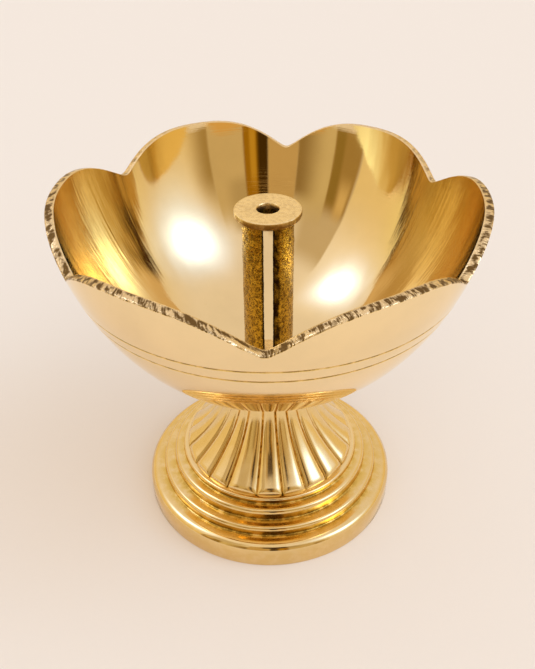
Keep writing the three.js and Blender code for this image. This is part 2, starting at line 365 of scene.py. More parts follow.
def strokes_group():
    """Upright strokes that hand polishing leaves inside the two side petals, and where they lie."""
    tree, given, out = group_tree(
        "Upright Strokes", [("Strokes", 45.0), ("Length", 40.0)], ["Height", "Share"])
    place = tree.nodes.new("ShaderNodeTexCoord").outputs["Object"]
    x, y, z = new_node(tree, "ShaderNodeSeparateXYZ", {0: place}).outputs
    turn = math_node(tree, "ARCTAN2", x, math_node(tree, "MULTIPLY", y, -1.0))
    across = math_node(tree, "MULTIPLY", turn, given[0])
    along = math_node(tree, "MULTIPLY", z, given[1])
    spot = new_node(tree, "ShaderNodeCombineXYZ", {0: across, 1: along}).outputs[0]
    tree.links.new(noise_node(tree, spot, 1.0, 4.0, 0.6), out["Height"])
    sideways = math_node(tree, "ABSOLUTE", math_node(tree, "SINE", turn))
    upper = ramp(tree, z, 48 * MM, 72 * MM)
    tree.links.new(math_node(tree, "MULTIPLY", ramp(tree, sideways, 0.7, 0.97), upper), out["Share"])
    return tree


def handling_group():
    """Cloudy wear from wiping, with a few fine scratches across it."""
    tree, given, out = group_tree(
        "Handling", [("Cloud Size", 60.0), ("Scratches", 0.5)], ["Cloud", "Height"])
    place = tree.nodes.new("ShaderNodeTexCoord").outputs["Object"]
    cloud = ramp(tree, noise_node(tree, place, given[0], 4.0, 0.6), 0.3, 0.72)
    tree.links.new(cloud, out["Cloud"])
    marks = None
    for scale, lean in (((900.0, 60.0, 260.0), (0.3, 0.8, 0.2)), ((70.0, 700.0, 420.0), (0.9, -0.4, 0.5))):
        turned = new_node(
            tree, "ShaderNodeMapping", {"Vector": place, "Rotation": lean, "Scale": scale}).outputs[0]
        cut = ramp(tree, noise_node(tree, turned, 1.0, 1.0), 0.68, 0.74)
        marks = cut if marks is None else math_node(tree, "MAXIMUM", marks, cut)
    depth = math_node(tree, "MULTIPLY", marks, given[1])
    tree.links.new(math_node(tree, "MULTIPLY", depth, -1.0), out["Height"])
    return tree


def tarnish_group():
    """Darkening where the stain attribute marks it, and in a few small spots: tarnish in grooves, and painted
    shade where the stain attribute holds it.
    """
    tree, given, out = group_tree(
        "Tarnish", [("Grooves", 1.0), ("Spots", 0.2), ("Spot Size", 500.0)], ["Mask"])
    place = tree.nodes.new("ShaderNodeTexCoord").outputs["Object"]
    stain = new_node(tree, "ShaderNodeAttribute", attribute_name="stain").outputs["Fac"]
    uneven = ramp(tree, noise_node(tree, place, 420.0, 3.0, 0.6), 0.25, 0.6, 0.35, 1.0)
    grooves = math_node(tree, "MULTIPLY", math_node(tree, "MULTIPLY", stain, uneven), given[0])
    spots = ramp(tree, noise_node(tree, place, given[2], 2.0), 0.7, 0.78)
    where = ramp(tree, noise_node(tree, place, 45.0), 0.5, 0.62)
    spots = math_node(tree, "MULTIPLY", math_node(tree, "MULTIPLY", spots, where), given[1])
    tree.links.new(math_node(tree, "MAXIMUM", grooves, spots, clamp=True), out["Mask"])
    return tree


def casting_group():
    """Sandy skin of raw cast metal: lumps, grains, pits and a mottled tone."""
    tree, given, out = group_tree(
        "Cast Skin", [("Grain", 1500.0), ("Pits", 0.6)], ["Height", "Pit Mask", "Tone"])
    place = tree.nodes.new("ShaderNodeTexCoord").outputs["Object"]
    lumps = noise_node(tree, place, given[0], 5.0, 0.65)
    clouds = noise_node(tree, place, math_node(tree, "MULTIPLY", given[0], 0.3), 3.0, 0.6)
    fine_tone = math_node(tree, "MULTIPLY", lumps, 0.6)
    tone = math_node(tree, "ADD", fine_tone, math_node(tree, "MULTIPLY", clouds, 0.4))
    tree.links.new(ramp(tree, tone, 0.36, 0.6), out["Tone"])
    finer = math_node(tree, "MULTIPLY", given[0], 1.6)
    cells = new_node(tree, "ShaderNodeTexVoronoi", {"Vector": place, "Scale": finer})
    pits = math_node(tree, "MULTIPLY", ramp(tree, lumps, 0.52, 0.38), given[1])
    grains = math_node(tree, "MULTIPLY", cells.outputs["Distance"], 0.5)
    height = math_node(tree, "SUBTRACT", math_node(tree, "ADD", lumps, grains), pits)
    tree.links.new(height, out["Height"])
    tree.links.new(pits, out["Pit Mask"])
    return tree


def use_group(tree, group, **values):
    node = new_node(tree, "ShaderNodeGroup", node_tree=group)
    for label, value in values.items():
        node.inputs[label.replace("_", " ")].default_value = value
    return node.outputs


def new_material(name):
    material = bpy.data.materials.new(name)
    material.use_nodes = True
    tree = material.node_tree
    return material, tree, tree.nodes["Principled BSDF"]


def bump(tree, height, depth, normal=None):
    inputs = {"Height": height, "Distance": depth, "Strength": 1.0}
    if normal is not None:
        inputs["Normal"] = normal
    return new_node(tree, "ShaderNodeBump", inputs).outputs[0]


def groups():
    """The shared effects, built once."""
    makers = {"Turning Lines": turning_lines_group, "Handling": handling_group,
              "Tarnish": tarnish_group, "Cast Skin": casting_group, "Upright Strokes": strokes_group}
    return {name: bpy.data.node_groups.get(name) or make() for name, make in makers.items()}


# Shares of a metal's red, green and blue that a thin film of tarnish lets through.
THIN_TARNISH = (0.84, 0.73, 0.32)
# Roughness that full tarnish and the satin of the upright strokes add, and the strokes' depth.
TARNISH_ROUGHNESS = 0.12
SATIN_ROUGHNESS = 0.06
STROKE_DEPTH = 0.06 * MM


def polished_brass(name, brass, stain, lines=4500.0, line_depth=0.5e-6, polish=0.04, spots=0.2, painted_side_sheen=None):
    """Brass polished on a wheel, with fine turning lines and tarnish in its grooves.

    Where a side colour is given, the side petals have it under upright satin strokes: a brighter copy of the
    brass that paints in the bright reflection of the side lights.
    """
    shared = groups()
    material, tree, shader = new_material(name)
    rings = use_group(tree, shared["Turning Lines"], Lines_per_Metre=lines, Patchiness=0.7)
    wear = use_group(tree, shared["Handling"], Cloud_Size=55.0, Scratches=0.4)
    tarnish = use_group(tree, shared["Tarnish"], Grooves=1.0, Spots=spots, Spot_Size=600.0)["Mask"]
    cloudy = tuple(channel * 0.93 for channel in brass)
    base = blend_colour(tree, wear["Cloud"], rgba(brass), rgba(cloudy))
    if painted_side_sheen:
        strokes = use_group(tree, shared["Upright Strokes"])
        # Painted highlight: the side petals take the brighter colour.
        base = blend_colour(tree, strokes["Share"], base, rgba(painted_side_sheen))
    golden = tuple(channel * share for channel, share in zip(brass, THIN_TARNISH))
    # The tarnish mask also carries painted shade: at the front of the foot's coves and low on the bowl's
    # outside.
    base = blend_colour(tree, ramp(tree, tarnish, 0.0, 0.6), base, rgba(golden))
    base = blend_colour(tree, ramp(tree, tarnish, 0.4, 1.0), base, rgba(stain))
    tree.links.new(base, shader.inputs["Base Color"])
    dull = math_node(tree, "MULTIPLY", wear["Cloud"], 0.03)
    clean = math_node(tree, "ADD", dull, polish)
    rough = math_node(tree, "ADD", clean, math_node(tree, "MULTIPLY", tarnish, TARNISH_ROUGHNESS))
    normal = bump(tree, rings["Height"], line_depth)
    if painted_side_sheen:
        satin = strokes["Share"]
        rough = math_node(tree, "ADD", rough, math_node(tree, "MULTIPLY", satin, SATIN_ROUGHNESS))
        normal = bump(tree, math_node(tree, "MULTIPLY", strokes["Height"], satin), STROKE_DEPTH, normal)
    tree.links.new(rough, shader.inputs["Roughness"])
    shader.inputs["Metallic"].default_value = 1.0
    tree.links.new(bump(tree, wear["Height"], 0.4e-6, normal), shader.inputs["Normal"])
    return material


def filed_brass(name, brass, dirt):
    """The rim's cut face, filed and hammered, with dirt low in its marks."""
    shared = groups()
    material, tree, shader = new_material(name)
    cast = use_group(tree, shared["Cast Skin"], Grain=1500.0, Pits=0.6)
    stain = new_node(tree, "ShaderNodeAttribute", attribute_name="stain").outputs["Fac"]
    pitted = math_node(tree, "ADD", stain, math_node(tree, "MULTIPLY", cast["Tone"], 0.35))
    dirty = ramp(tree, pitted, 0.4, 1.0)
    tree.links.new(blend_colour(tree, dirty, rgba(brass), rgba(dirt)), shader.inputs["Base Color"])
    tree.links.new(ramp(tree, dirty, 0.0, 1.0, 0.16, 0.38), shader.inputs["Roughness"])
    shader.inputs["Metallic"].default_value = 1.0
    tree.links.new(bump(tree, cast["Height"], 0.04 * MM), shader.inputs["Normal"])
    return material


def raw_brass(name, brass, brown, dark, grain=2300.0, depth=0.07 * MM, pits=0.5):
    """Rough brass as it leaves the mould, mottled brown, dark in its pits and worn bright on its lumps."""
    shared = groups()
    material, tree, shader = new_material(name)
    cast = use_group(tree, shared["Cast Skin"], Grain=grain, Pits=pits)
    tarnish = use_group(tree, shared["Tarnish"], Grooves=1.0, Spots=0.3, Spot_Size=300.0)["Mask"]
    metal = blend_colour(tree, cast["Tone"], rgba(brown), rgba(brass))
    # The stain mask also carries painted shade here: the legs' slot sides and the disc's shadow on the
    # collar.
    dark_share = math_node(tree, "MAXIMUM", cast["Pit Mask"], tarnish, clamp=True)
    tree.links.new(blend_colour(tree, dark_share, metal, rgba(dark)), shader.inputs["Base Color"])
    tree.links.new(ramp(tree, dark_share, 0.0, 1.0, 0.2, 0.45), shader.inputs["Roughness"])
    shader.inputs["Metallic"].default_value = 1.0
    tree.links.new(bump(tree, cast["Height"], depth), shader.inputs["Normal"])
    return material


def turned_brass(name, brass, stain, line_depth=4e-6, polish=0.24, mottled=0.3):
    """Brass faced off on a lathe and left unpolished, mottled and pitted."""
    shared = groups()
    material, tree, shader = new_material(name)
    rings = use_group(tree, shared["Turning Lines"], Lines_per_Metre=3500.0, Patchiness=0.3)
    cast = use_group(tree, shared["Cast Skin"], Grain=1100.0, Pits=0.9)
    tarnish = use_group(tree, shared["Tarnish"], Grooves=0.9, Spots=1.0, Spot_Size=900.0)["Mask"]
    mottle = math_node(tree, "MULTIPLY", math_node(tree, "SUBTRACT", 1.0, cast["Tone"]), mottled)
    pitted = math_node(tree, "MAXIMUM", math_node(tree, "MULTIPLY", cast["Pit Mask"], mottled), mottle)
    dark_share = math_node(tree, "MAXIMUM", pitted, tarnish, clamp=True)
    tree.links.new(blend_colour(tree, dark_share, rgba(brass), rgba(stain)), shader.inputs["Base Color"])
    rough = math_node(tree, "ADD", math_node(tree, "MULTIPLY", dark_share, 0.2), polish)
    tree.links.new(rough, shader.inputs["Roughness"])
    shader.inputs["Metallic"].default_value = 1.0
    normal = bump(tree, rings["Height"], line_depth)
    grain_depth = 0.014 * MM
    tree.links.new(bump(tree, cast["Height"], grain_depth, normal), shader.inputs["Normal"])
    return material


def moulded_rubber(name, black):
    """Matt black rubber with a faint moulded grain."""
    shared = groups()
    material, tree, shader = new_material(name)
    cast = use_group(tree, shared["Cast Skin"], Grain=2500.0, Pits=0.2)
    wear = use_group(tree, shared["Handling"], Cloud_Size=300.0, Scratches=0.3)
    dusty = tuple(channel * 2.2 for channel in black)
    tree.links.new(blend_colour(tree, wear["Cloud"], rgba(black), rgba(dusty)), shader.inputs["Base Color"])
    tree.links.new(ramp(tree, wear["Cloud"], 0.0, 1.0, 0.55, 0.75), shader.inputs["Roughness"])
    tree.links.new(bump(tree, cast["Height"], 0.01 * MM), shader.inputs["Normal"])
    return material


# The foot.

class FootForm:
    """Radii and heights of the foot that its rings share."""

    def __init__(self, sizes):
        self.sizes = sizes
        self.tops = [sizes.band + sum(sizes.step_rises[:i + 1]) for i in range(3)]
        self.radii = [sizes.radius - sum(sizes.step_insets[:i + 1]) for i in range(3)]
        self.plinth = self.tops[2]
        self.dome = self.radii[2] - sizes.ledge
        self.crown = sizes.height - sizes.crown
        step = 360.0 / sizes.reeds
        self.grooves = [step * (k - 0.5) + sizes.drift[k % len(sizes.drift)] for k in range(sizes.reeds)]
        self.grooves.append(self.grooves[0] + 360.0)

    def turns(self, per_reed):
        """Turns of the dome's points, closest together at the grooves, from the groove left of the front."""
        turns = []
        for low, high in zip(self.grooves, self.grooves[1:]):
            for j in range(per_reed):
                share = (1 - math.cos(math.pi * j / per_reed)) / 2
                turns.append(FRONT + math.radians(low + (high - low) * share))
        return turns

    def groove(self, share):
        return self.sizes.neck + (self.dome - self.sizes.neck) * (1 - share) ** self.sizes.flare

    def share(self, height):
        return (height - self.plinth) / (self.sizes.height - self.plinth)

    def across(self, turn):
        """The reed at a turn, and the place across it from its groove at 0 to the next at 1."""
        place = math.degrees(turn - FRONT)
        reed = min(bisect_right(self.grooves, place + 1e-6), self.sizes.reeds) - 1
        return reed, (place - self.grooves[reed]) / (self.grooves[reed + 1] - self.grooves[reed])

    def swell(self, turn):
        across = self.across(turn)[1]
        bulge = 1 - abs(2 * across - 1) ** self.sizes.flatness
        return math.tau / self.sizes.reeds * self.sizes.fullness * bulge

    def end_share(self, swell):
        reach = self.dome / (1 + swell) - self.sizes.neck
        return 1 - (reach / (self.dome - self.sizes.neck)) ** (1 / self.sizes.flare)


def foot_inside(form, turns):
    """Rings down the open hollow, from the bore to the inner edge of the underside."""
    sizes = form.sizes
    profile = [(sizes.bore, form.crown)]
    rows = 16
    for i in range(rows + 1):
        height = form.crown - (form.crown - form.plinth) * i / rows
        profile.append((form.groove(form.share(height)) - sizes.wall, height))
    for radius, top, rise in reversed(list(zip(form.radii, form.tops, sizes.step_rises))):
        profile.append((radius - sizes.wall, top - sizes.wall))
        profile.append((radius - sizes.wall, top - rise - sizes.wall))
    edge = sizes.cove
    profile.append((sizes.radius - sizes.wall, sizes.band - sizes.wall))
    profile.append((sizes.radius - sizes.wall, edge))
    profile.append((sizes.radius - sizes.wall + edge, 0.0))
    return [plain_ring(turns, radius, height) for radius, height in profile]


def front_painted_shade(turn):
    """Share of the darkening kept at a turn: all of it at the front and a quarter at the back; the extra at
    the front is painted dark reflection.
    """
    return 0.25 + 0.75 * max(0.0, math.cos(turn - FRONT)) ** 1.5


def foot_steps(form, turns):
    """Rings up the turned band and steps to the dome's foot."""
    sizes = form.sizes
    edge = sizes.cove
    # Shares of darkening: under the foot, over rounded edges, on upright faces and in inner corners.
    under, curved, dull, worn = 0.4, 0.2, 0.25, 0.8
    # Darkening up to this share lies all round as tarnish; what is over it gathers at the front as painted
    # shade and dark reflection, most of it in the inner corners.
    all_round_share = 0.35
    profile = [(sizes.radius - edge, 0.0, under), (sizes.radius - 0.3 * edge, 0.3 * edge, under),
               (sizes.radius, edge, dull)]
    top, radius, soften = sizes.band, sizes.radius, sizes.shoulder
    for inner, rise, next_edge in zip(form.radii, sizes.step_rises, sizes.step_edges):
        profile.append((radius, top - soften - edge * 0.5, dull))
        profile.extend((r, z, curved) for r, z in quarter(radius, top, soften)[:-1])
        profile.append((radius - soften, top, 0.4 * worn))
        # Inner corners: tarnish all round, and painted shade over it at the front.
        profile.extend((r, z, worn) for r, z in hollow_quarter(inner, top, edge))
        dull = 0.3 * worn
        top, radius, soften = top + rise, inner, next_edge
    profile.append((radius, top - soften - edge * 0.3, dull))
    profile.extend((r, z, 0.0) for r, z in quarter(radius, top, soften))

    def point(turn, r, z, stain):
        return r, z, min(stain, all_round_share) + max(0.0, stain - all_round_share) * front_painted_shade(turn)

    return [ring(turns, lambda t, i, p=p: point(t, *p)) for p in profile]


def foot_dome(form, turns):
    """Rings up the reeded dome, each reed ending in an arched face at its foot."""
    sizes = form.sizes
    rise = sizes.height - form.plinth
    soft = 0.25 * MM
    places = [form.across(t) for t in turns]
    spans = [math.radians(form.grooves[reed + 1] - form.grooves[reed]) for reed, across in places]
    beside = [min(across, 1 - across) * span for (reed, across), span in zip(places, spans)]
    groove_stain = [max(0.0, 1 - 22.0 * side) for side in beside]
    swells = [form.swell(t) for t in turns]
    starts = [form.end_share(swell) for swell in swells]

    def arch(i, below, inset):
        height = form.plinth + max(0.0, starts[i] * rise - below)
        return form.dome - inset * (starts[i] > 0.01), height, groove_stain[i]

    rings = [ring(turns, lambda t, i: (form.dome, form.plinth, 0.3)),
             ring(turns, lambda t, i: arch(i, soft, 0.0)),
             ring(turns, lambda t, i: arch(i, 0.3 * soft, 0.08 * MM))]
    rows = 40

    def surface(turn, i, row):
        share = starts[i] + (1 - starts[i]) * (0.008 + 0.992 * row / rows)
        radius = form.groove(share) * (1 + swells[i])
        height = form.plinth + rise * share
        place = Vector((radius * math.cos(turn), radius * math.sin(turn), height)) / MM
        lump = noise.noise(place * 0.35) * 0.05 * MM + noise.noise(place * 1.1) * 0.012 * MM
        reed, across = places[i]
        nearest = reed if across < 0.5 else reed + 1
        chatter = noise.noise(Vector((height / MM * 1.7, nearest % sizes.reeds * 5.3, 1.0)))
        line = max(0.0, 1 - beside[i] * radius / (0.32 * MM))
        deep = sizes.cut * line * max(0.2, 0.7 + 1.6 * chatter)
        stain = max(line * min(1.0, max(0.0, 0.45 + 2.2 * chatter)), groove_stain[i] * 0.35)
        # Groove tarnish weighted to the front, where part of it is painted dark reflection.
        return radius + lump * (1 - share) - deep, height, max(0.18, stain * front_painted_shade(turn))

    for row in range(rows + 1):
        rings.append(ring(turns, lambda t, i, row=row: surface(t, i, row)))
    return rings


def build_foot(sizes, finishes):
    form = FootForm(sizes)
    fine = form.turns(24)
    coarse = fine[::2]
    inside = foot_inside(form, coarse)
    steps = foot_steps(form, coarse)
    dome = foot_dome(form, fine)
    rings = inside + steps + dome + [plain_ring(coarse, sizes.bore, sizes.height)]
    slots = [1] * (len(inside) - 1) + [0] * (len(steps) + 1) + [2] * len(dome) + [1]
    piece = skin("gadrooned_foot", rings, slots)
    polished = polished_brass("polished_foot", finishes.foot_brass, finishes.tarnish, polish=0.05, spots=0.4)
    rough = raw_brass(
        "cast_hollow", finishes.cast_brass, finishes.cast_brown, finishes.cast_skin_and_shade, grain=1200.0)
    brushed = polished_brass("brushed_reeds", finishes.foot_brass, finishes.tarnish, polish=0.12, spots=0.3)
    dress(piece, "foot", "foot", [polished, rough, brushed])


# The bowl.

# Powers in a petal's outline: how broad its top is, and how it draws in to the notches.
PETAL_BREADTH = 2.7
PETAL_DRAW = 1.25


class BowlForm:
    """The bowl's ellipse and its hand-cut rim."""

    def __init__(self, sizes):
        self.sizes = sizes
        self.seat = bowl_low[2]
        sink = sizes.half_depth * (1 - math.sqrt(1 - (sizes.seat / sizes.half_width) ** 2))
        self.centre = self.seat - sink + sizes.half_depth
        self.floor = self.seat + sizes.floor

    def outside(self, height):
        return ellipse_radius(height, self.sizes.half_width, self.sizes.half_depth, self.centre)

    def inside(self, height):
        wall = self.sizes.wall
        return ellipse_radius(height, self.sizes.half_width - wall, self.sizes.half_depth - wall, self.centre)

    def polished(self, turn, height):
        """Radius of the inside with its ripples, which run up the two side petals."""
        radius = self.inside(height)
        place = Vector((math.cos(turn), math.sin(turn), 0.0)) * radius / (2.6 * MM)
        place.z = height / (26 * MM)
        sideways = math.cos(turn) ** 2
        waves = noise.noise(place * 0.5) * 1.5 + noise.noise(place)
        return radius + self.sizes.ripple * sideways * waves

    def turns(self, per_petal):
        """Turns of the rim's points, a little closer together at the notches, from the front notch."""
        degree = math.tau / sum(self.sizes.spans)
        start = math.radians(self.sizes.front_notch)
        turns = []
        for span in self.sizes.spans:
            for j in range(per_petal):
                share = j / per_petal
                share += 0.5 * ((1 - math.cos(math.pi * share)) / 2 - share)
                turns.append(start + span * degree * share)
            start += span * degree
        return turns

    def rim(self, turn):
        """Height of the cut rim at a turn."""
        sizes = self.sizes
        total = sum(sizes.spans)
        along = math.degrees(turn) - sizes.front_notch
        along = (along % 360.0) * total / 360.0
        last = len(sizes.spans) - 1
        for i, span in enumerate(sizes.spans):
            if along <= span or i == last:
                break
            along -= span
        across = min(1.0, along / span)
        crown = (1 - abs(2 * across - 1) ** PETAL_BREADTH) ** PETAL_DRAW
        soft = sizes.notch_softness
        crown = (math.hypot(crown, soft) - soft) / (math.hypot(1, soft) - soft)
        next_notch = sizes.notches[(i + 1) % len(sizes.notches)]
        notch = sizes.notches[i] + (next_notch - sizes.notches[i]) * across
        return self.seat + notch + sizes.crowns[i] * crown


def bowl_outside(form, turns):
    """Rings up the outside, level up to the incised lines and then following the rim."""
    sizes = form.sizes
    half = sizes.line_width / 2
    top = sizes.line_heights[1] + 2.2 * MM
    levels = [(form.seat + (top - form.seat) * (i / 26) ** 1.5, 0.0, 0.0) for i in range(27)]
    lines = list(sizes.line_heights)
    levels = [place for place in levels if all(abs(place[0] - z) > 2 * half for z in lines)]
    for z in lines:
        levels += [(z - half * 1.3, 0, 0), (z - half, 0, 0), (z - half * 0.4, sizes.line_depth, 0.8),
                   (z + half * 0.4, sizes.line_depth, 0.8), (z + half, 0, 0), (z + half * 1.3, 0, 0)]
    levels.sort()
    painted_shade_height = 8.5 * MM

    # Darkening low on the outside, towards the seat and strongest at the front, is painted shade and dark
    # reflection from the shadowed foot and floor below.
    def level(turn, height, cut, stain):
        under = 0.95 * front_painted_shade(turn) * max(0.0, 1 - (height - form.seat) / painted_shade_height)
        return form.outside(height) - cut, height, max(stain, under)

    rings = [ring(turns, lambda t, i, p=p: level(t, *p)) for p in levels]
    for share in (0.14, 0.28, 0.42, 0.56, 0.7, 0.82, 0.92):
        def follow(turn, i, share=share):
            height = top + (form.rim(turn) - top) * share
            return form.outside(height), height, 0.0
        rings.append(ring(turns, follow))
    return rings


def bowl_rim(form, turns):
    """Rings over the cut rim, with its file strokes across the metal and its hammered facets."""
    sizes = form.sizes
    edge = sizes.rim_edge
    depth = sizes.rim_tooling
    spots = [(0.0, -2.2), (0.0, -1.0), (0.1, -0.25)] + [(0.1 + 0.8 * k / 7, 0.0) for k in range(1, 7)]
    spots += [(0.9, -0.25), (1.0, -1.0), (1.0, -2.2)]

    def point(turn, across, drop):
        rise = sizes.wall * sizes.rim_rake * across
        low = form.rim(turn) + rise + drop * edge
        outer = form.outside(low)
        inner = form.polished(turn, low)
        if drop < -1.5:
            return outer + (inner - outer) * across, low, 0.0
        run = turn * outer / MM
        lean = run + 0.5 * across
        facet = noise.noise(Vector((run * 0.8, across * 1.6, 3.0)))
        stroke = 1 - 2.6 * abs(noise.noise(Vector((lean * 2.4, across * 0.8, 9.0))))
        scratch = noise.noise(Vector((lean * 5.0, across * 2.4, 15.0)))
        mark = 1.0 * facet + 0.5 * stroke + 0.5 * scratch
        behind = max(0.0, math.sin(turn)) ** 0.7
        smooth = (min(1.0, (1 - across) / 0.25)) * (1 - 0.7 * behind)
        low += depth * (mark - 0.7) * smooth
        ragged = noise.noise(Vector((run * 1.5, across * 9, 21.0)))
        ragged += 0.6 * noise.noise(Vector((run * 4, across, 2.0)))
        radius = outer + (inner - outer) * across
        radius += (across - 0.5) * depth * ragged * smooth
        from_notch = (math.degrees(turn) - sizes.front_notch + 180.0) % 360.0 - 180.0
        smoky = 0.3 * math.exp(-(from_notch / 5.0) ** 2)
        return radius, low, smooth * max(0.0, min(1.0, 0.74 - 0.95 * mark + smoky))

    return [ring(turns, lambda t, i, a=a, d=d: point(t, a, d)) for a, d in spots]


def bowl_inside(form, turns):
    """Rings down the inside to the flat floor round the bore."""
    sizes = form.sizes
    rows = 36
    rings = []
    for row in range(rows, -1, -1):
        share = (row / rows) ** 1.4 * 0.97

        def point(turn, i, share=share):
            edge = form.rim(turn) + sizes.wall * sizes.rim_rake
            height = form.floor + (edge - form.floor) * share
            return form.polished(turn, height), height, 0.0
        rings.append(ring(turns, point))
    return rings


def build_bowl(sizes, finishes):
    form = BowlForm(sizes)
    coarse = form.turns(90)
    fine = form.turns(540)
    outside = bowl_outside(form, coarse)
    rim = bowl_rim(form, fine)
    inside = bowl_inside(form, coarse)
    rings = [plain_ring(coarse, sizes.bore, form.seat)] + outside + rim + inside
    rings.append(plain_ring(coarse, sizes.bore, form.floor))
    slots = [0] * (len(outside) + 1) + [1] * (len(rim) - 1) + [2] * (len(inside) + 2)
    slots[len(outside) + 1] = 0
    slots[len(outside) + len(rim) - 1] = 2
    piece = skin("petal_bowl", rings, slots, sharp=28.0)
    polished = polished_brass("buffed_bowl", finishes.bowl_brass, finishes.tarnish, polish=0.06)
    filed = filed_brass("filed_rim", finishes.rim_brass, finishes.rim_dirt)
    lining = polished_brass("mirror_lining", finishes.lining, finishes.tarnish, lines=2200.0,
                            line_depth=2.6e-6, polish=0.03, painted_side_sheen=finishes.petal_painted_sheen)
    dress(piece, "bowl", "bowl", [polished, filed, lining])


# The wick holder.

def leg_outline(sizes, side):
    """Outline of one leg, a half round with soft corners, with the way out at each point."""
    corner = sizes.leg_corner
    flat = sizes.slot / 2 + corner
    reach = sizes.stem - corner
    tip = math.sqrt(reach * reach - flat * flat)
    lean = math.atan2(tip, flat)
    outline = []
    half_slot = flat - corner
    for i in range(24):
        y = tip * math.cos(math.pi * i / 24)
        bored = math.sqrt(max(0.0, sizes.wick_hole ** 2 - y * y))
        outline.append((max(half_slot, bored), y, -1.0, 0.0))
    first, last = math.pi, math.tau - lean
    for i in range(10):
        a = first + (last - first) * i / 10
        outline.append((flat + corner * math.cos(a), corner * math.sin(a) - tip, math.cos(a), math.sin(a)))
    for i in range(30):
        a = -lean + 2 * lean * i / 30
        outline.append((sizes.stem * math.cos(a), sizes.stem * math.sin(a), math.cos(a), math.sin(a)))
    for i in range(10):
        a = lean + (math.pi - lean) * i / 10
        outline.append((flat + corner * math.cos(a), tip + corner * math.sin(a), math.cos(a), math.sin(a)))
    if side > 0:
        return outline
    return [(-x, y, -nx, ny) for x, y, nx, ny in reversed(outline)]


def leg_skin_and_painted_shade(side, out_x, out_y, place, lump):
    """Share of dark colour: casting skin in the lumps' hollows, and painted shade on the faces towards the
    slot, spreading over the slot side of the right leg.
    """
    patch = noise.noise(Vector((place.z * 0.16, side * 3.0, 1.0)))
    reach = (0.3 if side > 0 else -0.7) + 0.55 * patch + 0.3 * lump
    # Painted shade: strongest on the faces towards the slot and over the right leg's slot side.
    slot_shade = (reach - out_x * side) * 2.4 + (0.35 if side > 0 else 0.0)
    hollow = -lump * 0.7
    return max(0.0, min(1.0, max(slot_shade, hollow)))


def leg_mesh(sizes, side, bottom, top, verts, faces, stains):
    """Adds one rough-cast leg, lumpy along its slot, spreading at both ends."""
    outline = leg_outline(sizes, side)
    rows = 150
    start = len(verts)
    for row in range(rows + 1):
        height = bottom + (top - bottom) * row / rows
        near_end = min(height - bottom, top - height)
        spread = sizes.leg_flare * math.exp(-near_end / (0.7 * MM))
        for x, y, out_x, out_y in outline:
            place = Vector((x, y, height)) / MM
            slot_side = 1.0 if out_x * side < -0.3 else 0.0
            lump = noise.noise(place * 0.55) + noise.noise(place * 1.5) * 0.7 + noise.noise(place * 3.3) * 0.4
            beads = max(0.0, noise.noise(Vector((place.z * 1.9, y / MM * 0.5, side * 7.0))) - 0.1)
            rough = sizes.roughness * (lump + slot_side * 1.6 * beads)
            push = rough + spread * (1.0 if slot_side == 0.0 else 0.4)
            verts.append((x + out_x * push, y + out_y * push, height))
            # Painted shade on the slot sides, with casting skin in the hollows, kept in the stain attribute.
            stains.append(leg_skin_and_painted_shade(side, out_x, out_y, place, lump))
    count = len(outline)
    for row in range(rows):
        for i in range(count):
            a = start + row * count + i
            b = start + row * count + (i + 1) % count
            faces.append((a, b, b + count, a + count))


def append_rings(rings, verts, faces, stains, closed):
    starts = []
    for points in rings:
        starts.append(len(verts))
        verts.extend(point[:3] for point in points)
        stains.extend(point[3] for point in points)
    for k in range(len(rings) if closed else len(rings) - 1):
        after = (k + 1) % len(rings)
        bridge(faces, starts[k], len(rings[k]), starts[after], len(rings[after]))


def disc_rings(sizes, top, turns):
    """The turned disc: a pitted face with a wick hole, and a slightly uneven edge."""
    under = top - sizes.disc_thickness
    hole = sizes.wick_hole
    rim = sizes.disc
    bevel = 0.22 * MM
    profile = [(hole, under), (hole, under + 0.5 * MM), (hole, top - 0.3 * MM),
               (hole + bevel, top - 0.02 * MM)]
    rows = 16
    for i in range(1, rows + 1):
        profile.append((hole + bevel + (rim - 0.25 * MM - hole - bevel) * i / rows, top))
    profile += [(rim - 0.08 * MM, top - 0.08 * MM), (rim, top - 0.3 * MM), (rim, under + 0.35 * MM),
                (rim - 0.1 * MM, under + 0.1 * MM), (rim - 0.35 * MM, under)]

    def point(turn, radius, height):
        place = Vector((radius * math.cos(turn), radius * math.sin(turn), height)) / MM
        dent = max(0.0, noise.noise(place * 1.3) - 0.25) * 0.1 * MM
        wavy = noise.noise(place * 0.6) * 0.04 * MM
        outer = radius > rim - 0.2 * MM
        stain = 1.0 if outer and height < top - 0.1 * MM else 0.05
        if radius < hole + 0.1 * MM:
            stain = 0.75
        return radius + (wavy if outer else 0.0), height - (dent if height > top - 0.1 * MM else 0.0), stain

    return [ring(turns, lambda t, i, r=r, z=z: point(t, r, z)) for r, z in profile]


def collar_rings(sizes, top, turns):
    """The solid ring under the disc, where the slot stops, darkened all over as painted shadow from the disc.
    """
    low = top - sizes.collar
    outer = sizes.stem - 0.1 * MM
    sunk = top + 0.2 * MM
    profile = [(sizes.wick_hole, low), (sizes.wick_hole, sunk), (outer, sunk), (outer, low)]
    # The stain share of 0.7 paints the disc's shadow on the collar.
    return [plain_ring(turns, radius, height, 0.7) for radius, height in profile]


